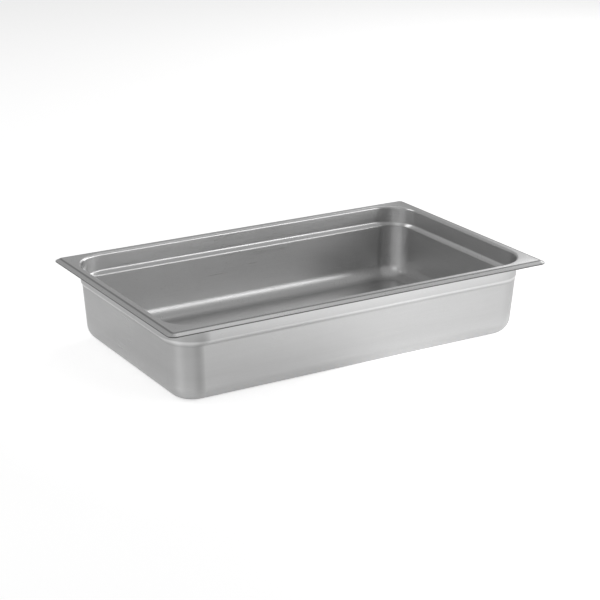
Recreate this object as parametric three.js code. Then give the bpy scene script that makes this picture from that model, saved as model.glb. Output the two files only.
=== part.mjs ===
// A full-size food pan: one sheet of stainless steel, deep drawn into a rectangular well with a
// stacking shoulder, a flat rim around the mouth and a hemmed, turned-down edge.
// Millimetres, +Z up, X along the length. The origin is the middle of the underside of the floor.
import * as THREE from "three";

// Overall size
const LENGTH = 530;
const WIDTH = 325;
const HEIGHT = 100;
const SHEET = 0.8;

// Rim: a flat top, then an apron that slopes down and ends in a hem folded back under it.
// An inset is a distance inwards from the vertical plane through the rim's outermost edge.
const RIM_CORNER_RADIUS = 9.8;
const RIM_BEND_INSET = 6.2;
const RIM_BEND_RADIUS = 2.4;
const APRON_SLOPE = THREE.MathUtils.degToRad(25);
const HEM_RADIUS = SHEET + 0.05;
const HEM_FOLD = 4.2;

// Well, inside faces: the mouth, the shoulder step, the drafted wall and the floor
const MOUTH_INSET = 15.5;
const MOUTH_RADIUS = 3;
const UPPER_CORNER_RADIUS = 43.6;
const UPPER_WALL_DRAFT = 0.2;
const SHOULDER_TOP_DROP = 20.9;
const SHOULDER_HEIGHT = 7.8;
const SHOULDER_STEP = 4;
const SHOULDER_RADIUS = 4;
const LOWER_CORNER_RADIUS = 32.8;
const LOWER_WALL_DRAFT = 2.9;
const FLOOR_RADIUS = 19.6;

// Smoothness of the arcs
const CORNER_STEPS = 10;
const SMALL_BEND_STEPS = 4;
const SHOULDER_STEPS = 5;
const FLOOR_BEND_STEPS = 8;

// Insets and heights that follow from the dimensions above
const UPPER_FOOT_INSET = MOUTH_INSET + UPPER_WALL_DRAFT;
const LOWER_TOP_INSET = UPPER_FOOT_INSET + SHOULDER_STEP;
const LOWER_FOOT_INSET = LOWER_TOP_INSET + LOWER_WALL_DRAFT;
const SHOULDER_TOP = HEIGHT - SHOULDER_TOP_DROP;
const SHOULDER_FOOT = SHOULDER_TOP - SHOULDER_HEIGHT;

// The inner face and the outer face of the wall are one sheet thickness apart, so each bend has
// the same centre on both faces. A station is one ring of the pan: an inset, a height and the
// radius of its corners in plan.
const station = (inset, height, corner) => ({ inset, height, corner });

// Points on an arc in the section plane, from one angle to another, both ends included.
function arcPoints(centreInset, centreHeight, radius, from, to, steps) {
  const arc = new THREE.EllipseCurve(
    centreInset, centreHeight, radius, radius,
    THREE.MathUtils.degToRad(from), THREE.MathUtils.degToRad(to), from > to,
  );
  return arc.getPoints(steps);
}

// The rim from the flat's outer end, over the bend and down the apron, around the hem and back
// up to the flat's underside. Its corners all share one centre, so radius and inset add up.
function rimStations() {
  const slope = THREE.MathUtils.radToDeg(APRON_SLOPE);
  const inwards = new THREE.Vector2(Math.cos(APRON_SLOPE), Math.sin(APRON_SLOPE));
  const upwards = new THREE.Vector2(-Math.sin(APRON_SLOPE), Math.cos(APRON_SLOPE));

  const bendCentre = new THREE.Vector2(
    RIM_BEND_INSET + RIM_BEND_RADIUS * Math.tan(APRON_SLOPE / 2),
    HEIGHT - RIM_BEND_RADIUS,
  );
  const bendEnd = bendCentre.clone().addScaledVector(upwards, RIM_BEND_RADIUS);

  // the hem just touches the outermost plane and the line of the apron's top face
  const hemCentre = new THREE.Vector2(
    HEM_RADIUS,
    bendEnd.y - (bendEnd.x - HEM_RADIUS) * Math.tan(APRON_SLOPE) - HEM_RADIUS / Math.cos(APRON_SLOPE),
  );
  const foldEnd = hemCentre.clone()
    .addScaledVector(upwards, -HEM_RADIUS)
    .addScaledVector(inwards, HEM_FOLD);
  const foldRoot = foldEnd.clone().addScaledVector(upwards, 2 * HEM_RADIUS - SHEET);

  const arc = (centre, radius, from, to, steps) =>
    arcPoints(centre.x, centre.y, radius, from, to, steps);
  const points = [
    ...arc(bendCentre, RIM_BEND_RADIUS, 90, 90 + slope, SMALL_BEND_STEPS),
    ...arc(hemCentre, HEM_RADIUS, 90 + slope, 180, SMALL_BEND_STEPS),
    ...arc(hemCentre, HEM_RADIUS, 180, 270 + slope, SMALL_BEND_STEPS).slice(1),
    foldEnd,
    foldRoot,
    ...arc(bendCentre, RIM_BEND_RADIUS - SHEET, 90 + slope, 90, SMALL_BEND_STEPS),
  ];
  return points.map((p) => station(p.x, p.y, RIM_CORNER_RADIUS - p.x));
}

// The mouth's rounded edge, from the flat down into the well. gap is how far outside the inner
// face the ring lies.
function mouthStations(gap) {
  const centreInset = MOUTH_INSET - MOUTH_RADIUS;
  const points = arcPoints(
    centreInset, HEIGHT - MOUTH_RADIUS, MOUTH_RADIUS - gap, 90, 0, SMALL_BEND_STEPS,
  );
  return points.map((p) =>
    station(p.x, p.y, UPPER_CORNER_RADIUS + MOUTH_RADIUS - (p.x - centreInset)));
}

// The shoulder is a straight slope between two equal arcs, which it touches. The corners in plan
// tighten from the upper wall's to the lower wall's on the way down.
function shoulderStations(gap) {
  const across = 2 * SHOULDER_RADIUS - SHOULDER_STEP;
  const tilt = Math.asin((2 * SHOULDER_RADIUS) / Math.hypot(across, SHOULDER_HEIGHT))
    - Math.atan(across / SHOULDER_HEIGHT);
  const last = 2 * SHOULDER_STEPS + 1;
  const rings = [];
  for (let i = 0; i <= last; i++) {
    const upper = i <= SHOULDER_STEPS;
    const side = upper ? 1 : -1;
    const angle = (tilt * (upper ? i : last - i)) / SHOULDER_STEPS;
    const centreInset = upper
      ? UPPER_FOOT_INSET + SHOULDER_RADIUS
      : LOWER_TOP_INSET - SHOULDER_RADIUS;
    const centreHeight = upper ? SHOULDER_TOP : SHOULDER_FOOT;
    const reach = SHOULDER_RADIUS + side * gap;
    const height = centreHeight - side * reach * Math.sin(angle);
    const share = THREE.MathUtils.smoothstep(SHOULDER_TOP - height, 0, SHOULDER_HEIGHT);
    rings.push(station(
      centreInset - side * reach * Math.cos(angle),
      height,
      THREE.MathUtils.lerp(UPPER_CORNER_RADIUS, LOWER_CORNER_RADIUS, share) + gap * Math.cos(angle),
    ));
  }
  return rings;
}

// The wall leans in from the shoulder at a constant corner radius, then turns into the floor.
function floorStations(gap) {
  const centreHeight = SHEET + FLOOR_RADIUS;
  const lean = Math.atan(LOWER_WALL_DRAFT / (SHOULDER_FOOT - centreHeight));
  const points = arcPoints(
    LOWER_FOOT_INSET + FLOOR_RADIUS, centreHeight, FLOOR_RADIUS + gap,
    180 + THREE.MathUtils.radToDeg(lean), 270, FLOOR_BEND_STEPS,
  );
  return points.map((p) =>
    station(p.x, p.y, LOWER_CORNER_RADIUS + gap - (p.x - points[0].x)));
}

function wellStations(gap) {
  return [...mouthStations(gap), ...shoulderStations(gap), ...floorStations(gap)];
}

// A rounded rectangle at a station, anticlockwise from above, as a list of points in space.
function ringPoints({ inset, height, corner }) {
  const halfLength = LENGTH / 2 - inset;
  const halfWidth = WIDTH / 2 - inset;
  const points = [];
  for (let quarter = 0; quarter < 4; quarter++) {
    const signX = quarter === 0 || quarter === 3 ? 1 : -1;
    const signY = quarter < 2 ? 1 : -1;
    for (let i = 0; i <= CORNER_STEPS; i++) {
      const angle = (Math.PI / 2) * (quarter + i / CORNER_STEPS);
      points.push(new THREE.Vector3(
        signX * (halfLength - corner) + corner * Math.cos(angle),
        signY * (halfWidth - corner) + corner * Math.sin(angle),
        height,
      ));
    }
  }
  return points;
}

// A closed skin through a list of stations, capped flat at both ends. The stations run from the
// middle of the floor's inside, up the wall, around the rim and down to the underside.
function skinThrough(stations) {
  const rings = stations.map(ringPoints);
  const count = rings[0].length;
  const vertices = rings.flat();
  const faces = [];
  for (let r = 0; r + 1 < rings.length; r++) {
    for (let i = 0; i < count; i++) {
      const next = (i + 1) % count;
      const a = r * count + i;
      const b = r * count + next;
      const c = (r + 1) * count + next;
      const d = (r + 1) * count + i;
      faces.push(a, d, b, b, d, c);
    }
  }
  const last = (rings.length - 1) * count;
  const topCentre = vertices.push(new THREE.Vector3(0, 0, stations[0].height)) - 1;
  const bottomCentre = vertices.push(new THREE.Vector3(0, 0, stations.at(-1).height)) - 1;
  for (let i = 0; i < count; i++) {
    const next = (i + 1) % count;
    faces.push(topCentre, i, next);
    faces.push(bottomCentre, last + next, last + i);
  }
  const geometry = new THREE.BufferGeometry().setFromPoints(vertices);
  geometry.setIndex(faces);
  geometry.computeVertexNormals();
  return geometry;
}

// Satin stainless steel
const steel = new THREE.MeshStandardMaterial({ color: 0xb4b4b4, roughness: 0.32, metalness: 1 });

function drawnPan() {
  const inside = wellStations(0).reverse();
  const outside = wellStations(SHEET);
  const pan = new THREE.Mesh(skinThrough([...inside, ...rimStations(), ...outside]), steel);
  pan.name = "pan";
  return pan;
}

const object = new THREE.Group();
object.add(drawnPan());

export default object;
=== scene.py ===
"""A full-size stainless steel food pan, drawn from one sheet, on its studio stage."""

import math
from collections import namedtuple

import bmesh
import bpy
from bpy.props import FloatProperty, FloatVectorProperty, IntProperty, PointerProperty
from mathutils import Matrix, Vector


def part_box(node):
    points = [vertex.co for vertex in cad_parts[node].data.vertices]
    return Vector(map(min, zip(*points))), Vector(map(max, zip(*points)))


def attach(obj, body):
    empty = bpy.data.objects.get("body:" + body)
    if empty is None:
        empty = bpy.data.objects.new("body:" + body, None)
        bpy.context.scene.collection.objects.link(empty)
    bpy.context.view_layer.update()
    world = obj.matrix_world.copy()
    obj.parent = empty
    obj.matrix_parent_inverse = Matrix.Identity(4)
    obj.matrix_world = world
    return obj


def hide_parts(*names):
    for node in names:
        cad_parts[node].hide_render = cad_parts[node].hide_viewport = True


bl_info = {
    "name": "Food Pan",
    "version": (1, 0, 0),
    "blender": (4, 5, 0),
    "location": "View3D > Sidebar > Food Pan",
    "description": "Draws a full-size stainless steel food pan and its studio stage",
    "category": "Add Mesh",
}

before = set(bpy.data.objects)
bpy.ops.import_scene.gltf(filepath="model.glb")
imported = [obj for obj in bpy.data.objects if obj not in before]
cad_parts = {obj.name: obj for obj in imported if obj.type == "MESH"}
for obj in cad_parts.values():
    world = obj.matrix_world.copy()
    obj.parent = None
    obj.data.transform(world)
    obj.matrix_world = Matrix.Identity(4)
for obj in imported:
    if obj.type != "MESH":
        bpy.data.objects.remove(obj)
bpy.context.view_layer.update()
PAN_LOW, PAN_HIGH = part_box("pan")
PAN_SIZE = PAN_HIGH - PAN_LOW
MM = 0.001


# ---------------------------------------------------------------------------------------------
# Sizes, finish and stage, as a user would change them
# ---------------------------------------------------------------------------------------------


def length(name, description, default):
    return FloatProperty(name=name, description=description, default=default, unit="LENGTH")


def angle(name, description, degrees):
    return FloatProperty(
        name=name, description=description, default=math.radians(degrees), subtype="ANGLE"
    )


def share(name, description, default):
    return FloatProperty(
        name=name, description=description, default=default, min=0.0, max=1.0, subtype="FACTOR"
    )


def number(name, description, default):
    return FloatProperty(name=name, description=description, default=default, min=0.0)


def steps(name, description, default):
    return IntProperty(name=name, description=description, default=default, min=1)


def colour(name, description, default):
    return FloatVectorProperty(
        name=name, description=description, default=default, subtype="COLOR", min=0.0, max=1.0
    )


class FoodPanSizes(bpy.types.PropertyGroup):
    """The pan's section and corners. Insets run inwards from the rim's outermost edge."""

    length: length("Length", "Over the rim, along X", PAN_SIZE.x)
    width: length("Width", "Over the rim, along Y", PAN_SIZE.y)
    height: length("Height", "From the surface it stands on to the rim's top", PAN_SIZE.z)
    sheet: length("Sheet", "Thickness of the steel", 0.8 * MM)

    rim_corner: length("Rim Corner", "Corner radius of the rim's outer edge", 9.8 * MM)
    rim_bend_inset: length("Rim Bend Inset", "Where the rim's flat meets its apron", 6.2 * MM)
    rim_bend_radius: length("Rim Bend Radius", "Radius of that bend, on top", 2.4 * MM)
    apron_slope: angle("Apron Slope", "How far the apron tips down from level", 25.0)
    hem_radius: length("Hem Radius", "Outer radius of the folded edge", 0.85 * MM)
    hem_fold: length("Hem Fold", "How far the edge is folded back under", 4.2 * MM)

    mouth_inset: length("Mouth Inset", "Inside face of the wall just below the mouth", 15.5 * MM)
    mouth_radius: length("Mouth Radius", "Radius from the rim's flat into the well", 3.0 * MM)
    upper_corner: length("Upper Corner", "Inside corner radius above the shoulder", 43.6 * MM)
    upper_draft: length("Upper Draft", "How far the wall leans in above the shoulder", 0.2 * MM)
    shoulder_drop: length("Shoulder Drop", "From the rim's top down to the shoulder", 20.9 * MM)
    shoulder_height: length("Shoulder Height", "Height of the stacking shoulder", 7.8 * MM)
    shoulder_step: length("Shoulder Step", "How far the shoulder steps inwards", 4.0 * MM)
    shoulder_radius: length("Shoulder Radius", "Inside radius of its two bends", 4.0 * MM)
    lower_corner: length("Lower Corner", "Inside corner radius below the shoulder", 32.8 * MM)
    lower_draft: length("Lower Draft", "How far the lower wall leans in", 2.9 * MM)
    floor_radius: length("Floor Radius", "Inside radius from the wall into the floor", 19.6 * MM)

    corner_steps: steps("Corner Steps", "Edges round one corner", 24)
    bend_steps: steps("Bend Steps", "Edges through a small bend", 8)
    shoulder_steps: steps("Shoulder Steps", "Edges through half of the shoulder", 8)
    floor_steps: steps("Floor Steps", "Edges from the wall into the floor", 20)
    wall_steps: steps("Wall Steps", "Edges up the lower wall", 4)


class FoodPanFinish(bpy.types.PropertyGroup):
    """The steel's polish, inside and out."""

    steel: colour("Steel", "The steel's own colour", (0.56, 0.56, 0.56))
    inside_roughness: share("Inside Roughness", "Of the polish inside the well", 0.31)
    outside_roughness: share("Outside Roughness", "Of the drawn face outside", 0.31)
    brushing: share("Brushing", "How much further gleams spread across the lines", 0.6)
    line_depth: length("Line Depth", "Depth of the polishing lines", 0.004 * MM)
    clouding: share("Clouding", "How unevenly the polish took", 0.55)
    # painted reflection: a dark and a bright streak down the corners
    painted_streaks: share("Painted Streaks", "How strong the stripes that drawing left are", 0.28)
    # painted shade: darkens the creases and the hem's underside, where shade falls, and takes the
    # metal out of them
    painted_shade_strength: share("Painted Shade", "How dark the creases that polishing misses are", 0.85)
    # painted highlight: lightens the colour of the rubbed bends, more outside than inside
    inside_painted_highlight: share("Inside Painted Highlight", "How much brighter rubbed bends are inside", 0.1)
    outside_painted_highlight: share("Outside Painted Highlight", "How much brighter rubbed bends are outside", 0.5)
    rubbing: share("Rubbing", "How far the bends are rubbed bright", 0.2)


class FoodPanStage(bpy.types.PropertyGroup):
    """The floor, the lights and the camera."""

    floor: colour("Floor", "A plain pale floor", (0.86, 0.86, 0.86))
    world: number("World", "Brightness of the room", 0.46)
    floor_glow: number("Floor Glow", "How brightly the floor glows to the front right", 0.36)
    floor_glow_turn: angle("Floor Glow Turn", "Where it glows, from straight in front", 30.0)
    floor_pool: number("Floor Pool", "How brightly it glows close round the pan", 0.20)
    floor_pool_reach: length("Floor Pool Reach", "How far out that fades away", 550.0 * MM)
    floor_white: number("Floor White", "What more of it the camera sees", 0.36)
    camera_turn: angle("Camera Turn", "Round the pan, from the front", -31.177)
    camera_rise: angle("Camera Rise", "Above level", 19.382)
    camera_roll: angle("Camera Roll", "About the line of sight", 0.267)
    camera_distance: length("Camera Distance", "From the point it looks at", 2103.65 * MM)
    camera_lens: number("Camera Lens", "Focal length in millimetres on a 36 mm sensor", 99.77)


# ---------------------------------------------------------------------------------------------
# The pan's section, as rings from the edge of the floor out to the folded edge of the rim
# ---------------------------------------------------------------------------------------------

# inset and height place the ring, corner is its corner radius, rub is how far hands, lids and
# other pans have rubbed it and sets its painted highlight, dull is the painted shade on it
Ring = namedtuple("Ring", "inset height corner rub dull", defaults=(0.0, 0.0))

# how far each stretch of the sheet is rubbed, which also sets how much painted highlight it gets
FLOOR_BEND_RUB = 0.15
MOUTH_WALL_RUB = 0.5
MOUTH_TOP_RUB = 0.1
RIM_FLAT_RUB = 0.1
RIM_BEND_RUB = 0.2
APRON_RUB = 0.3
HEM_FOLD_RUB = 0.2

# painted shade, darkening the bends and the hem's underside where shade falls
LOWER_BEND_SHADE = 0.14  # the lower of the shoulder's two bends
CREASE_SHADE = 0.8  # the rim's bend, and half as much
CREASE_REACH = 0.8 * MM  # this far to each side of it
HEM_SHADE_START = 0.9  # above the hem's middle, as a share of its radius
HEM_SHADE_RISE = 3.0  # how fast the painted shade deepens from there down


def arc_points(centre, radius, start, end, count):
    """Points round a centre (inset, height), both ends included, angles in degrees."""
    angles = [math.radians(start + (end - start) * i / count) for i in range(count + 1)]
    spokes = [Vector((math.cos(angle), math.sin(angle))) for angle in angles]
    return [Vector(centre) + spoke * radius for spoke in spokes]


def floor_bend_rings(size, foot_inset, top_inset, shoulder_foot):
    """From the edge of the flat floor up round the bend, then up the drafted wall."""
    centre_height = size.sheet + size.floor_radius
    centre = (foot_inset + size.floor_radius, centre_height)
    lean = math.degrees(math.atan(size.lower_draft / (shoulder_foot - centre_height)))
    points = arc_points(centre, size.floor_radius, 270.0, 180.0 + lean, size.floor_steps)
    wall_inset, wall_height = points[-1]
    rings = [
        Ring(inset, height, size.lower_corner - (inset - wall_inset), FLOOR_BEND_RUB)
        for inset, height in points
    ]
    for i in range(1, size.wall_steps):
        part = i / size.wall_steps
        rings.append(Ring(
            wall_inset + (top_inset - wall_inset) * part,
            wall_height + (shoulder_foot - wall_height) * part,
            size.lower_corner,
        ))
    return rings


def shoulder_rings(size, upper_inset, lower_inset, shoulder_top):
    """A straight slope between two equal arcs that it touches, from the foot up."""
    radius = size.shoulder_radius
    across = 2.0 * radius - size.shoulder_step
    tilt = (math.asin(2.0 * radius / math.hypot(across, size.shoulder_height))
            - math.atan(across / size.shoulder_height))
    degrees = math.degrees(tilt)
    foot = (lower_inset - radius, shoulder_top - size.shoulder_height)
    top = (upper_inset + radius, shoulder_top)
    points = arc_points(foot, radius, 0.0, degrees, size.shoulder_steps)
    points += arc_points(top, radius, 180.0 + degrees, 180.0, size.shoulder_steps)
    rings = []
    for inset, height in points:
        part = min(max((height - foot[1]) / size.shoulder_height, 0.0), 1.0)
        eased = part * part * (3.0 - 2.0 * part)
        corner = size.lower_corner + (size.upper_corner - size.lower_corner) * eased
        # rub and painted highlight peak at the shoulder's upper bend, and a little painted shade
        # darkens the lower one
        upper_rub_and_highlight = math.sin(math.pi * part * part)
        lower_shade = LOWER_BEND_SHADE * math.sin(math.pi * math.sqrt(part))
        rings.append(Ring(inset, height, corner, upper_rub_and_highlight, lower_shade))
    return rings


def mouth_rings(size):
    """From the wall over the mouth's rounded edge on to the rim's flat."""
    centre_inset = size.mouth_inset - size.mouth_radius
    points = arc_points(
        (centre_inset, size.height - size.mouth_radius), size.mouth_radius, 0.0, 90.0,
        size.bend_steps,
    )
    corner = size.upper_corner + size.mouth_radius
    rings = []
    for i, (inset, height) in enumerate(points):
        below_top = 1.0 - i / size.bend_steps
        rub = MOUTH_TOP_RUB + (MOUTH_WALL_RUB - MOUTH_TOP_RUB) * below_top
        rings.append(Ring(inset, height, corner - (inset - centre_inset), rub))
    return rings


def rim_rings(size):
    """From the rim's flat over its bend, down the apron, round the hem and back under."""
    slope = size.apron_slope
    slope_degrees = math.degrees(slope)
    inwards = Vector((math.cos(slope), math.sin(slope)))
    upwards = Vector((-math.sin(slope), math.cos(slope)))
    bend_centre = Vector((
        size.rim_bend_inset + size.rim_bend_radius * math.tan(slope / 2.0),
        size.height - size.rim_bend_radius,
    ))
    bend_end = bend_centre + upwards * size.rim_bend_radius
    hem_centre = Vector((
        size.hem_radius,
        bend_end.y
        - (bend_end.x - size.hem_radius) * math.tan(slope)
        - size.hem_radius / math.cos(slope),
    ))
    under = hem_centre - upwards * size.hem_radius
    fold_end = under + inwards * size.hem_fold

    bend = arc_points(
        bend_centre, size.rim_bend_radius, 90.0, 90.0 + slope_degrees, size.bend_steps
    )
    hem = arc_points(hem_centre, size.hem_radius, 90.0 + slope_degrees, 180.0, size.bend_steps)
    hem += arc_points(
        hem_centre, size.hem_radius, 180.0, 270.0 + slope_degrees, size.bend_steps
    )[1:]
    flat_end, slope_start = bend[0], bend[-1]
    inner, outer = Vector((CREASE_REACH, 0.0)), -inwards * CREASE_REACH

    def rim_ring(point, rub, dull=0.0):
        return Ring(point.x, point.y, size.rim_corner - point.x, rub, dull)

    # painted shade darkens the rim's bend and, deepening downwards, the hem's underside and its fold
    rings = [
        rim_ring(flat_end + 2.0 * inner, RIM_FLAT_RUB),
        rim_ring(flat_end + inner, RIM_FLAT_RUB, CREASE_SHADE / 2.0),
    ]
    rings += [rim_ring(point, RIM_BEND_RUB, CREASE_SHADE) for point in bend]
    rings += [
        rim_ring(slope_start + outer, APRON_RUB, CREASE_SHADE / 2.0),
        rim_ring(slope_start + 2.0 * outer, APRON_RUB),
    ]
    for point in hem:
        below = (hem_centre.y - point.y) / size.hem_radius + HEM_SHADE_START
        rings.append(rim_ring(point, APRON_RUB, min(max(below * HEM_SHADE_RISE, 0.0), 1.0)))
    rings.append(rim_ring(fold_end, HEM_FOLD_RUB, 1.0))
    return rings


def section_rings(size):
    """The whole section, from the edge of the floor out to the end of the hem."""
    upper_inset = size.mouth_inset + size.upper_draft
    lower_inset = upper_inset + size.shoulder_step
    foot_inset = lower_inset + size.lower_draft
    shoulder_top = size.height - size.shoulder_drop
    shoulder_foot = shoulder_top - size.shoulder_height
    return (
        floor_bend_rings(size, foot_inset, lower_inset, shoulder_foot)
        + shoulder_rings(size, upper_inset, lower_inset, shoulder_top)
        + mouth_rings(size)
        + rim_rings(size)
    )


# ---------------------------------------------------------------------------------------------
# Modelling tools
# ---------------------------------------------------------------------------------------------

CORNERS = ((1, 1), (-1, 1), (-1, -1), (1, -1))  # by the signs of X and Y
FLOOR_BANDS = (3.0 * MM, 9.0 * MM)
WALL_FACE, FLOOR_FACE, FACE_KINDS = 0, 1, 2


def deselect_everything():
    if bpy.context.mode != "OBJECT":
        bpy.ops.object.mode_set(mode="OBJECT")
    bpy.ops.object.select_all(action="DESELECT")


def pick_ring(mesh, index, corner=None):
    """Select the vertices of one ring, or only those of one of its corners."""
    bpy.ops.mesh.select_all(action="DESELECT")
    bm = bmesh.from_edit_mesh(mesh)
    layer = bm.verts.layers.int["ring"]
    for vert in bm.verts:
        if vert[layer] == index and (
            corner is None or (vert.co.x * corner[0] > 0.0 and vert.co.y * corner[1] > 0.0)
        ):
            vert.select = True
    bm.select_flush(True)
    bmesh.update_edit_mesh(mesh, loop_triangles=False, destructive=False)


def number_selected(mesh, index):
    """Mark the selected vertices as belonging to one ring."""
    bm = bmesh.from_edit_mesh(mesh)
    layer = bm.verts.layers.int.get("ring") or bm.verts.layers.int.new("ring")
    for vert in bm.verts:
        if vert.select:
            vert[layer] = index
    bmesh.update_edit_mesh(mesh, loop_triangles=False, destructive=False)


def corner_centre(size, ring, corner):
    """Where one of the ring's rounded corners is struck from."""
    return Vector((
        corner[0] * (size.length / 2.0 - ring.inset - ring.corner),
        corner[1] * (size.width / 2.0 - ring.inset - ring.corner),
        ring.height,
    ))


def start_sheet(size, ring):
    """A flat plate the size of the first ring, with rounded corners and no middle."""
    deselect_everything()
    bpy.ops.mesh.primitive_plane_add(size=1.0, location=(0.0, 0.0, ring.height))
    sheet = bpy.context.object
    sheet.name = sheet.data.name = "drawn_pan"
    bpy.ops.object.transform_apply(location=True, rotation=True, scale=True)
    bpy.ops.object.mode_set(mode="EDIT")
    bpy.ops.mesh.select_mode(type="VERT")
    bpy.ops.mesh.select_all(action="SELECT")
    bpy.ops.transform.resize(value=(
        size.length - 2.0 * ring.inset, size.width - 2.0 * ring.inset, 1.0,
    ))
    bpy.ops.mesh.bevel(
        offset=ring.corner, segments=size.corner_steps, profile=0.5, affect="VERTICES"
    )
    bpy.ops.mesh.select_all(action="SELECT")
    bpy.ops.mesh.delete(type="ONLY_FACE")
    bpy.ops.mesh.select_all(action="SELECT")
    number_selected(sheet.data, 0)
    return sheet


def draw_ring(mesh, size, before, after, index):
    """Extrude the open edge, then carry each of its corners from one ring to the next."""
    bpy.ops.mesh.extrude_edges_move()
    number_selected(mesh, index)
    grow = after.corner / before.corner
    for corner in CORNERS:
        pick_ring(mesh, index, corner)
        old = corner_centre(size, before, corner)
        new = corner_centre(size, after, corner)
        bpy.ops.transform.resize(value=(grow, grow, 1.0), center_override=old)
        bpy.ops.transform.translate(value=new - old)
    pick_ring(mesh, index)


def close_floor(mesh):
    """Fill the floor, with narrow flat bands inside its edge that hold it level."""
    pick_ring(mesh, 0)
    bpy.ops.mesh.edge_face_add()
    for band in FLOOR_BANDS:
        bpy.ops.mesh.inset(thickness=band, use_even_offset=True)
    number_selected(mesh, 0)


def face_upwards(mesh):
    """Make every face agree, with the floor's shown face up."""
    bpy.ops.mesh.select_all(action="SELECT")
    bpy.ops.mesh.normals_make_consistent(inside=False)
    bm = bmesh.from_edit_mesh(mesh)
    floor = max(bm.faces, key=lambda face: face.calc_area())
    if floor.normal.z < 0.0:
        bpy.ops.mesh.flip_normals()


def section_lengths(rings):
    """How far each ring lies from the floor's edge, along the sheet."""
    lengths = [0.0]
    for before, after in zip(rings, rings[1:]):
        lengths.append(lengths[-1] + math.hypot(
            after.inset - before.inset, after.height - before.height,
        ))
    return lengths


def stripe(value, middle, width):
    """1 at the middle, and smoothly less to both sides."""
    return math.exp(-(((value - middle) / width) ** 2))


# how strong the painted reflection streaks are in each corner
CORNER_STREAK_STRENGTH = {(1, 1): 1.0, (-1, 1): 0.3, (-1, -1): 1.0, (1, -1): 0.1}
# the stripes' middles and widths, in degrees round a corner from the end of the long wall
DARK_STRIPE = (13.0, 11.0)
BRIGHT_STRIPE = (52.0, 10.0)
BRIGHT_STRIPE_STRENGTH = 0.8
LONG_WALL_FADE = 4.0
SHORT_WALL_FADE = 20.0
# the stripes start part of the way up the floor's bend and end at the mouth's, as shares of each
FLOOR_BEND_START = 0.25
MOUTH_BEND_END = 0.5
MOUTH_FADE = 2.0


def painted_corner_streaks(size, corner, spoke, height):
    """Painted reflection: a dark streak beside each long wall's end and a bright one in mid-corner."""
    turn = math.degrees(math.atan2(abs(spoke.x), abs(spoke.y)))
    across = BRIGHT_STRIPE_STRENGTH * stripe(turn, *BRIGHT_STRIPE) - stripe(turn, *DARK_STRIPE)
    ends = min(turn / LONG_WALL_FADE, (90.0 - turn) / SHORT_WALL_FADE, 1.0)
    above_floor = (height / size.floor_radius - FLOOR_BEND_START) / (1.0 - FLOOR_BEND_START)
    below_rim = ((size.height - height) / size.mouth_radius - MOUTH_BEND_END) / MOUTH_FADE
    return CORNER_STREAK_STRENGTH[corner] * across * ends * max(min(above_floor, below_rim, 1.0), 0.0)


def write_sheet_attributes(mesh, size, rings):
    """section: distance along the sheet from the floor's edge. rub: how much it is handled, and how
    much painted highlight it gets.
    dull: painted shade in the creases and under the hem. draw: painted reflection streaks in the
    corners.
    grain: the way the polishing lines run round the pan."""
    lengths = section_lengths(rings)
    numbers = [item.value for item in mesh.attributes["ring"].data]
    for name in ("section", "rub", "dull", "draw"):
        mesh.attributes.new(name, "FLOAT", "POINT")
    mesh.attributes.new("grain", "FLOAT_VECTOR", "POINT")
    section, rub, dull, draw, grain = (
        mesh.attributes[name] for name in ("section", "rub", "dull", "draw", "grain")
    )
    for vertex, number in zip(mesh.vertices, numbers):
        place = vertex.co
        corner = (1 if place.x > 0.0 else -1, 1 if place.y > 0.0 else -1)
        spoke = place - corner_centre(size, rings[number], corner)
        section.data[vertex.index].value = lengths[number]
        rub.data[vertex.index].value = rings[number].rub
        dull.data[vertex.index].value = rings[number].dull
        # the painted reflection streaks in the corners
        draw.data[vertex.index].value = painted_corner_streaks(size, corner, spoke, place.z)
        grain.data[vertex.index].vector = Vector((-spoke.y, spoke.x, 0.0)).normalized()
    for face in mesh.polygons:
        on_floor = all(numbers[vertex] == 0 for vertex in face.vertices)
        face.material_index = FLOOR_FACE if on_floor else WALL_FACE
    mesh.attributes.remove(mesh.attributes["ring"])


def apply_modifier(piece, kind, **settings):
    """Add a modifier with these settings and make its result the mesh."""
    modifier = piece.modifiers.new(kind.title(), kind)
    for name, value in settings.items():
        setattr(modifier, name, value)
    bpy.context.view_layer.objects.active = piece
    bpy.ops.object.modifier_apply(modifier=modifier.name)


# ---------------------------------------------------------------------------------------------
# Materials
# ---------------------------------------------------------------------------------------------

POLISHING_LINE_LENGTH = 70.0 * MM
POLISHING_LINE_WIDTH = 0.6 * MM
BAND_FINENESS = 0.12  # of the bands of uneven polish, against the lines'
PATCH_SIZE = 90.0 * MM
FINE_PATCHES = 5.0  # how many fine patches lie along a broad one
FINE_PATCH_SHARE = 0.3
SCRATCH_LENGTH = 35.0 * MM
SCRATCH_SLENDERNESS = 70.0
SCRATCH_SPARSENESS = 0.68
SCRATCH_EDGE = 0.06
SCRATCH_TURNS = ((0.3, 0.1, 0.6), (-0.5, 0.2, -1.1))
RUB_BREAKS_PER_METRE = 45.0
RUB_BREAKS = (0.35, 0.62)  # the noise's values between which a rubbed bend shows
RUB_START = 0.3  # less handling than this leaves nothing to see

# what the polish is made of, and what each mark does to the steel's shade and roughness
CLOUD_SHARE, BAND_SHARE = 0.6, 0.4
UNEVEN_SHADE, LINE_SHADE, SCRATCH_SHADE = 0.25, 0.10, 0.05
UNEVEN_ROUGHNESS, LINE_ROUGHNESS = -0.35, 0.12
SCRATCH_ROUGHNESS, RUB_ROUGHNESS = -0.05, -0.10
SCRATCH_DEPTH = -0.6  # in depths of a polishing line
QUARTER_TURN = 0.25  # gleams stretch across the lines

FLOOR_GLOW_SHARPNESS = 5.0
FLOOR_POOL_FADE_START = 0.4  # as a share of its reach
FLOOR_ROUGHNESS = 0.9


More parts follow.
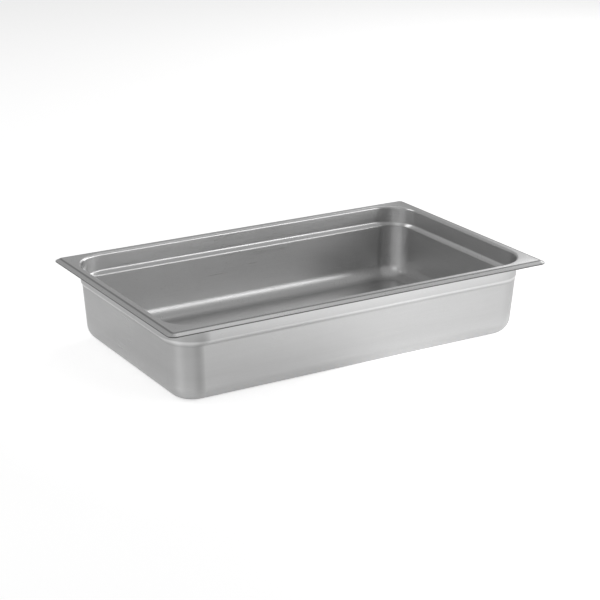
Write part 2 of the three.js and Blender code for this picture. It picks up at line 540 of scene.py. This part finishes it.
class Graph:
    """Short ways to add nodes to a tree and join them up."""

    def __init__(self, tree):
        self.tree = tree

    def node(self, kind, inputs=None, **settings):
        node = self.tree.nodes.new(kind)
        for name, value in settings.items():
            setattr(node, name, value)
        for name, value in (inputs or {}).items():
            self.feed(value, node.inputs[name])
        return node

    def feed(self, value, socket):
        if isinstance(value, bpy.types.NodeSocket):
            self.tree.links.new(value, socket)
        else:
            socket.default_value = value

    def math(self, operation, first, second=0.0, third=0.0, clamp=False):
        node = self.node("ShaderNodeMath", operation=operation, use_clamp=clamp)
        for socket, value in zip(node.inputs, (first, second, third)):
            self.feed(value, socket)
        return node.outputs[0]

    def blend(self, factor, first, second):
        """A number between two others."""
        node = self.node("ShaderNodeMix", data_type="FLOAT")
        for socket, value in zip((node.inputs[0], node.inputs[2], node.inputs[3]),
                                 (factor, first, second)):
            self.feed(value, socket)
        return node.outputs[0]

    def ramp(self, value, low, high):
        """0 below low, 1 above high, and smooth between."""
        node = self.node("ShaderNodeMapRange", interpolation_type="SMOOTHSTEP")
        self.feed(value, node.inputs["Value"])
        self.feed(low, node.inputs["From Min"])
        self.feed(high, node.inputs["From Max"])
        return node.outputs["Result"]

    def noise(self, vector, scale, detail, roughness=0.5):
        node = self.node("ShaderNodeTexNoise", {
            "Vector": vector, "Scale": scale, "Detail": detail, "Roughness": roughness,
        })
        return node.outputs["Fac"]

    def attribute(self, name):
        return self.node("ShaderNodeAttribute", attribute_name=name).outputs["Fac"]

    def place(self):
        return self.node("ShaderNodeTexCoord").outputs["Object"]

    def split(self, vector):
        return self.node("ShaderNodeSeparateXYZ", {"Vector": vector}).outputs

    def join(self, x, y, z):
        return self.node("ShaderNodeCombineXYZ", {"X": x, "Y": y, "Z": z}).outputs["Vector"]


def new_group(name, inputs, outputs):
    """A shader node group with named sockets. inputs are (name, socket kind, default)."""
    tree = bpy.data.node_groups.new(name, "ShaderNodeTree")
    for label, kind, default in inputs:
        socket = tree.interface.new_socket(label, in_out="INPUT", socket_type=kind)
        if default is not None:
            socket.default_value = default
    for label in outputs:
        tree.interface.new_socket(label, in_out="OUTPUT", socket_type="NodeSocketFloat")
    graph = Graph(tree)
    return graph, graph.node("NodeGroupInput").outputs, graph.node("NodeGroupOutput").inputs


def polishing_lines_group():
    """Long thin lines left by the polishing belt. Vector's Z is measured across them."""
    graph, given, result = new_group(
        "Polishing Lines",
        [
            ("Vector", "NodeSocketVector", None),
            ("Line Length", "NodeSocketFloat", POLISHING_LINE_LENGTH),
            ("Line Width", "NodeSocketFloat", POLISHING_LINE_WIDTH),
        ],
        ["Lines", "Bands"],
    )
    x, y, z = graph.split(given["Vector"])
    along = graph.math("DIVIDE", 1.0, given["Line Length"])
    across = graph.math("DIVIDE", 1.0, given["Line Width"])
    x, y, z = (graph.math("MULTIPLY", *pair) for pair in ((x, along), (y, along), (z, across)))
    wide = graph.math("MULTIPLY", z, BAND_FINENESS)
    graph.feed(graph.noise(graph.join(x, y, z), scale=1.0, detail=3.0, roughness=0.6), result["Lines"])
    graph.feed(graph.noise(graph.join(x, y, wide), scale=1.0, detail=2.0), result["Bands"])
    return graph.tree


def clouds_group():
    """Soft uneven patches, at two scales."""
    graph, given, result = new_group(
        "Soft Clouds",
        [
            ("Vector", "NodeSocketVector", None),
            ("Patch Size", "NodeSocketFloat", PATCH_SIZE),
        ],
        ["Clouds"],
    )
    scale = graph.math("DIVIDE", 1.0, given["Patch Size"])
    broad = graph.noise(given["Vector"], scale, detail=2.0)
    fine_scale = graph.math("MULTIPLY", scale, FINE_PATCHES)
    fine = graph.noise(given["Vector"], fine_scale, detail=3.0, roughness=0.6)
    graph.feed(graph.blend(FINE_PATCH_SHARE, broad, fine), result["Clouds"])
    return graph.tree


def scratches_group():
    """Sparse short scratches in two directions, from stacking and washing."""
    graph, given, result = new_group(
        "Fine Scratches",
        [
            ("Vector", "NodeSocketVector", None),
            ("Scratch Length", "NodeSocketFloat", SCRATCH_LENGTH),
            ("Sparseness", "NodeSocketFloat", SCRATCH_SPARSENESS),
        ],
        ["Scratches"],
    )
    along = graph.math("DIVIDE", 1.0, given["Scratch Length"])
    across = graph.math("MULTIPLY", along, SCRATCH_SLENDERNESS)
    total = None
    for turn in SCRATCH_TURNS:
        turned = graph.node("ShaderNodeVectorRotate", {
            "Vector": given["Vector"], "Rotation": turn,
        }, rotation_type="EULER_XYZ").outputs["Vector"]
        x, y, z = graph.split(turned)
        placed = graph.join(
            graph.math("MULTIPLY", x, along),
            graph.math("MULTIPLY", y, across),
            graph.math("MULTIPLY", z, across),
        )
        lines = graph.ramp(
            graph.noise(placed, scale=1.0, detail=1.0, roughness=0.4),
            given["Sparseness"],
            graph.math("ADD", given["Sparseness"], SCRATCH_EDGE),
        )
        total = lines if total is None else graph.math("MAXIMUM", total, lines)
    graph.feed(total, result["Scratches"])
    return graph.tree


def rubbing_group():
    """Where hands, lids and other pans have worn the bends, broken up along them."""
    graph, given, result = new_group(
        "Rubbed Bends",
        [
            ("Vector", "NodeSocketVector", None),
            ("Rub", "NodeSocketFloat", 0.0),
            ("Amount", "NodeSocketFloat", 0.5),
        ],
        ["Rubbed"],
    )
    breaks = graph.noise(given["Vector"], RUB_BREAKS_PER_METRE, detail=4.0, roughness=0.65)
    worn = graph.math(
        "MULTIPLY", graph.ramp(given["Rub"], RUB_START, 1.0), graph.ramp(breaks, *RUB_BREAKS))
    graph.feed(graph.math("MULTIPLY", worn, given["Amount"], clamp=True), result["Rubbed"])
    return graph.tree


class SteelGroups:
    """The node groups that all the steel's materials share, made once."""

    def __init__(self):
        self.lines = polishing_lines_group()
        self.clouds = clouds_group()
        self.scratches = scratches_group()
        self.rubbing = rubbing_group()


def use_group(graph, tree, **values):
    """Add a group. vector=... feeds its Vector, line_width=... its Line Width, and so on."""
    node = graph.node("ShaderNodeGroup", node_tree=tree)
    for name, value in values.items():
        graph.feed(value, node.inputs[name.replace("_", " ").title()])
    return node.outputs


def steel_shade(graph, finish, painted_highlight, clouds, uneven, line, scratches):
    """How bright the steel is: 1 is its own colour, with painted highlight, painted reflection streaks
    and painted shade on top.
    """
    shade = graph.math("MULTIPLY_ADD", uneven, UNEVEN_SHADE, 1.0)
    shade = graph.math("MULTIPLY_ADD", line, LINE_SHADE, shade)
    shade = graph.math("MULTIPLY_ADD", scratches, SCRATCH_SHADE, shade)
    # painted reflection streaks in the corners, broken up by the clouds
    reflection_streaks = graph.math("MULTIPLY", graph.attribute("draw"), graph.math("ADD", clouds, 0.5))
    for mark, strength in (
        (graph.attribute("rub"), painted_highlight),
        (reflection_streaks, finish.painted_streaks),
        (graph.attribute("dull"), -finish.painted_shade_strength),
    ):
        shade = graph.math("MULTIPLY", shade, graph.math("MULTIPLY_ADD", mark, strength, 1.0))
    return shade


def steel_roughness(graph, roughness, uneven, line, scratches, rubbed):
    """How rough the steel is, smoother where it is scratched or rubbed."""
    for mark, effect in (
        (uneven, UNEVEN_ROUGHNESS),
        (line, LINE_ROUGHNESS),
        (scratches, SCRATCH_ROUGHNESS),
        (rubbed, RUB_ROUGHNESS),
    ):
        roughness = graph.math("MULTIPLY_ADD", mark, effect, roughness)
    return roughness


def satin_steel(name, finish, groups, roughness, painted_highlight, flat):
    """Stainless steel. The flat floor is polished lengthwise, the walls and rim round the pan."""
    material = bpy.data.materials.new(name)
    material.use_nodes = True
    material.node_tree.nodes.clear()
    graph = Graph(material.node_tree)

    place = graph.place()
    x, y, _ = graph.split(place)
    if flat:
        across_lines = graph.join(x, 0.0, y)
        grain = graph.join(1.0, 0.0, 0.0)
    else:
        across_lines = graph.join(x, y, graph.attribute("section"))
        grain = graph.node("ShaderNodeAttribute", attribute_name="grain").outputs["Vector"]
    turned = graph.node(
        "ShaderNodeVectorTransform", {"Vector": grain},
        vector_type="VECTOR", convert_from="OBJECT", convert_to="WORLD",
    )
    polish = use_group(
        graph, groups.lines, vector=across_lines,
        line_length=POLISHING_LINE_LENGTH, line_width=POLISHING_LINE_WIDTH,
    )
    clouds = use_group(graph, groups.clouds, vector=place, patch_size=PATCH_SIZE)["Clouds"]
    scratches = use_group(
        graph, groups.scratches, vector=place,
        scratch_length=SCRATCH_LENGTH, sparseness=SCRATCH_SPARSENESS,
    )["Scratches"]
    rubbed = use_group(
        graph, groups.rubbing, vector=place, rub=graph.attribute("rub"), amount=finish.rubbing,
    )["Rubbed"]

    # how far the polish and its lines differ from even: 0 is even
    line = graph.math("SUBTRACT", polish["Lines"], 0.5)
    uneven = graph.math(
        "ADD",
        graph.math("MULTIPLY", clouds, CLOUD_SHARE),
        graph.math("MULTIPLY", polish["Bands"], BAND_SHARE),
    )
    uneven = graph.math("MULTIPLY", graph.math("SUBTRACT", uneven, 0.5), finish.clouding)

    tinted = graph.node("ShaderNodeVectorMath", operation="SCALE")
    tinted.inputs[0].default_value = finish.steel
    graph.feed(
        steel_shade(graph, finish, painted_highlight, clouds, uneven, line, scratches),
        tinted.inputs["Scale"],
    )
    bump = graph.node("ShaderNodeBump", {
        "Strength": 1.0,
        "Distance": finish.line_depth,
        "Height": graph.math("MULTIPLY_ADD", scratches, SCRATCH_DEPTH, polish["Lines"]),
    })
    shader = graph.node("ShaderNodeBsdfPrincipled", {
        "Base Color": tinted.outputs["Vector"],
        # painted shade also takes the metal out of the creases and the hem's underside
        "Metallic": graph.math("MULTIPLY_ADD", graph.attribute("dull"), -finish.painted_shade_strength, 1.0),
        "Roughness": steel_roughness(graph, roughness, uneven, line, scratches, rubbed),
        "Anisotropic": finish.brushing,
        "Anisotropic Rotation": QUARTER_TURN,
        "Normal": bump.outputs["Normal"],
        "Tangent": turned.outputs["Vector"],
    })
    output = graph.node("ShaderNodeOutputMaterial")
    graph.feed(shader.outputs["BSDF"], output.inputs["Surface"])
    return material


def pale_floor(stage):
    """A pale sweep, brighter to one side and close round the pan, whiter to the camera than to
    the pan, and clear from below."""
    material = bpy.data.materials.new("pale_floor")
    material.use_nodes = True
    material.node_tree.nodes.clear()
    graph = Graph(material.node_tree)
    towards = Vector((math.sin(stage.floor_glow_turn), -math.cos(stage.floor_glow_turn), 0.0))
    outwards = graph.node("ShaderNodeVectorMath", operation="NORMALIZE")
    graph.feed(graph.place(), outwards.inputs[0])
    facing = graph.node("ShaderNodeVectorMath", operation="DOT_PRODUCT")
    graph.feed(outwards.outputs["Vector"], facing.inputs[0])
    facing.inputs[1].default_value = towards
    glow = graph.math(
        "POWER", graph.math("MAXIMUM", facing.outputs["Value"], 0.0), FLOOR_GLOW_SHARPNESS)
    distance = graph.node("ShaderNodeVectorMath", operation="LENGTH")
    graph.feed(graph.place(), distance.inputs[0])
    beyond = graph.ramp(
        distance.outputs["Value"],
        stage.floor_pool_reach * FLOOR_POOL_FADE_START, stage.floor_pool_reach,
    )
    pool = graph.math("MULTIPLY", graph.math("SUBTRACT", 1.0, beyond), stage.floor_pool)
    seen = graph.node("ShaderNodeLightPath").outputs["Is Camera Ray"]
    shader = graph.node("ShaderNodeBsdfPrincipled", {
        "Base Color": (*stage.floor, 1.0),
        "Roughness": FLOOR_ROUGHNESS,
        "Specular IOR Level": 0.0,
        "Emission Color": (1.0, 1.0, 1.0, 1.0),
        "Emission Strength": graph.math(
            "ADD",
            graph.math("MULTIPLY_ADD", glow, stage.floor_glow, pool),
            graph.math("MULTIPLY", seen, stage.floor_white),
        ),
    })
    mixed = graph.node("ShaderNodeMixShader")
    graph.feed(graph.node("ShaderNodeNewGeometry").outputs["Backfacing"], mixed.inputs["Fac"])
    graph.feed(shader.outputs["BSDF"], mixed.inputs[1])
    graph.feed(graph.node("ShaderNodeBsdfTransparent").outputs["BSDF"], mixed.inputs[2])
    output = graph.node("ShaderNodeOutputMaterial")
    graph.feed(mixed.outputs["Shader"], output.inputs["Surface"])
    return material


# ---------------------------------------------------------------------------------------------
# Stage
# ---------------------------------------------------------------------------------------------

# name, turn from straight in front (right is positive), rise above level, power in watts
SOFTBOXES = (
    ("softbox_right", 90.0, 8.0, 14.0),
    ("softbox_right_front", 60.0, 8.0, 13.4),
    ("softbox_front", 30.0, 18.0, 10.0),
    ("softbox_left", 300.0, 32.0, 2.5),
    ("softbox_back_left", 240.0, 32.0, 10.0),
    ("softbox_back_right", 122.0, 32.0, 7.4),
    ("softbox_overhead", 140.0, 62.0, 3.5),
)
SOFTBOX_SIZE = 1.2
SOFTBOX_DISTANCE = 2.6
SOFTBOX_AIM = Vector((0.0, 0.0, 0.05))
SOFTBOX_CLEARANCE = 0.02  # between the lowest softboxes and the floor
FLOOR_SIZE = 16.0
FLOOR_GAP = 0.1 * MM  # keeps the floor and the pan's underside from lying in one plane
CAMERA_AIM = Vector((-0.82, -1.15, 45.98)) * MM
CAMERA_SENSOR = 36.0
CAMERA_REACH = 50.0


def add_softbox(name, turn, rise, power):
    """A square light that faces the pan. The low ones stand just clear of the floor."""
    turn, rise = math.radians(turn), math.radians(rise)
    lowest = SOFTBOX_SIZE / 2.0 * math.cos(rise) + SOFTBOX_CLEARANCE
    place = Vector((
        math.sin(turn) * math.cos(rise) * SOFTBOX_DISTANCE,
        -math.cos(turn) * math.cos(rise) * SOFTBOX_DISTANCE,
        max(math.sin(rise) * SOFTBOX_DISTANCE, lowest),
    ))
    bpy.ops.object.light_add(type="AREA", location=place)
    light = bpy.context.object
    light.name = light.data.name = name
    light.data.shape = "SQUARE"
    light.data.size = SOFTBOX_SIZE
    light.data.energy = power
    light.rotation_euler = (SOFTBOX_AIM - place).to_track_quat("-Z", "Y").to_euler()
    light.visible_camera = False


def add_floor(stage):
    deselect_everything()
    bpy.ops.mesh.primitive_plane_add(size=FLOOR_SIZE, location=(0.0, 0.0, -FLOOR_GAP))
    floor = bpy.context.object
    floor.name = floor.data.name = "floor"
    floor.data.materials.append(pale_floor(stage))


def add_camera(stage):
    turn, rise = stage.camera_turn, stage.camera_rise
    back = Vector((
        math.sin(turn) * math.cos(rise), -math.cos(turn) * math.cos(rise), math.sin(rise),
    ))
    level = back.to_track_quat("Z", "Y").to_matrix().to_4x4()
    roll = Matrix.Rotation(stage.camera_roll, 4, "Z")
    place = Matrix.Translation(CAMERA_AIM + back * stage.camera_distance)
    bpy.ops.object.camera_add()
    camera = bpy.context.object
    camera.name = camera.data.name = "camera"
    camera.matrix_world = place @ level @ roll
    camera.data.sensor_width = CAMERA_SENSOR
    camera.data.lens = stage.camera_lens
    camera.data.clip_end = CAMERA_REACH
    bpy.context.scene.camera = camera


def set_world(stage):
    world = bpy.data.worlds.new("room")
    world.use_nodes = True
    background = world.node_tree.nodes["Background"]
    background.inputs["Color"].default_value = (1.0, 1.0, 1.0, 1.0)
    background.inputs["Strength"].default_value = stage.world
    bpy.context.scene.world = world
    bpy.context.scene.view_settings.view_transform = "Standard"


# ---------------------------------------------------------------------------------------------
# Operators and panel
# ---------------------------------------------------------------------------------------------

SMOOTH_BELOW = math.radians(40.0)
FEWEST_FACES = 1000


class FOODPAN_OT_drawn_pan(bpy.types.Operator):
    """Draw the pan from one sheet of steel, fold its edge and polish it"""

    bl_idname = "food_pan.drawn_pan"
    bl_label = "Drawn Pan"

    def execute(self, context):
        size = context.scene.food_pan_sizes
        finish = context.scene.food_pan_finish
        rings = section_rings(size)
        pan = start_sheet(size, rings[0])
        for index in range(1, len(rings)):
            draw_ring(pan.data, size, rings[index - 1], rings[index], index)
        close_floor(pan.data)
        face_upwards(pan.data)
        bpy.ops.object.mode_set(mode="OBJECT")
        write_sheet_attributes(pan.data, size, rings)

        groups = SteelGroups()
        for face, roughness, painted_highlight in (
            ("inside", finish.inside_roughness, finish.inside_painted_highlight),
            ("outside", finish.outside_roughness, finish.outside_painted_highlight),
        ):
            for part, flat in (("wall", False), ("floor", True)):
                pan.data.materials.append(satin_steel(
                    f"satin_{part}_{face}", finish, groups, roughness, painted_highlight, flat))
        apply_modifier(
            pan, "SOLIDIFY", thickness=size.sheet, offset=-1.0, use_even_offset=True,
            use_quality_normals=True, use_rim=True, material_offset=FACE_KINDS,
            material_offset_rim=FACE_KINDS,
        )
        deselect_everything()
        pan.select_set(True)
        context.view_layer.objects.active = pan
        bpy.ops.object.shade_smooth_by_angle(angle=SMOOTH_BELOW)
        if len(pan.data.polygons) < FEWEST_FACES:
            raise RuntimeError("the pan's mesh is incomplete")
        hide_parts("pan")
        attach(pan, "root")
        return {"FINISHED"}


class FOODPAN_OT_stage(bpy.types.Operator):
    """Set up the pale floor, the soft lights and the camera"""

    bl_idname = "food_pan.stage"
    bl_label = "Stage"

    def execute(self, context):
        stage = context.scene.food_pan_stage
        set_world(stage)
        add_floor(stage)
        for softbox in SOFTBOXES:
            add_softbox(*softbox)
        add_camera(stage)
        return {"FINISHED"}


class FOODPAN_PT_panel(bpy.types.Panel):
    """Sizes, finish and stage of the food pan, and the steps that make them"""

    bl_idname = "FOODPAN_PT_panel"
    bl_label = "Food Pan"
    bl_space_type = "VIEW_3D"
    bl_region_type = "UI"
    bl_category = "Food Pan"

    def draw(self, context):
        scene = context.scene
        for title, group, operator in (
            ("Pan", scene.food_pan_sizes, FOODPAN_OT_drawn_pan),
            ("Finish", scene.food_pan_finish, None),
            ("Stage", scene.food_pan_stage, FOODPAN_OT_stage),
        ):
            box = self.layout.box()
            box.label(text=title)
            for name in group.bl_rna.properties.keys():
                if name not in {"rna_type", "name"}:
                    box.prop(group, name)
            if operator:
                box.operator(operator.bl_idname)


CLASSES = (
    FoodPanSizes,
    FoodPanFinish,
    FoodPanStage,
    FOODPAN_OT_drawn_pan,
    FOODPAN_OT_stage,
    FOODPAN_PT_panel,
)


def register():
    for cls in CLASSES:
        bpy.utils.register_class(cls)
    bpy.types.Scene.food_pan_sizes = PointerProperty(type=FoodPanSizes)
    bpy.types.Scene.food_pan_finish = PointerProperty(type=FoodPanFinish)
    bpy.types.Scene.food_pan_stage = PointerProperty(type=FoodPanStage)


def unregister():
    del bpy.types.Scene.food_pan_stage
    del bpy.types.Scene.food_pan_finish
    del bpy.types.Scene.food_pan_sizes
    for cls in reversed(CLASSES):
        bpy.utils.unregister_class(cls)


def main():
    register()
    bpy.ops.food_pan.stage()
    bpy.ops.food_pan.drawn_pan()


if __name__ == "__main__":
    main()
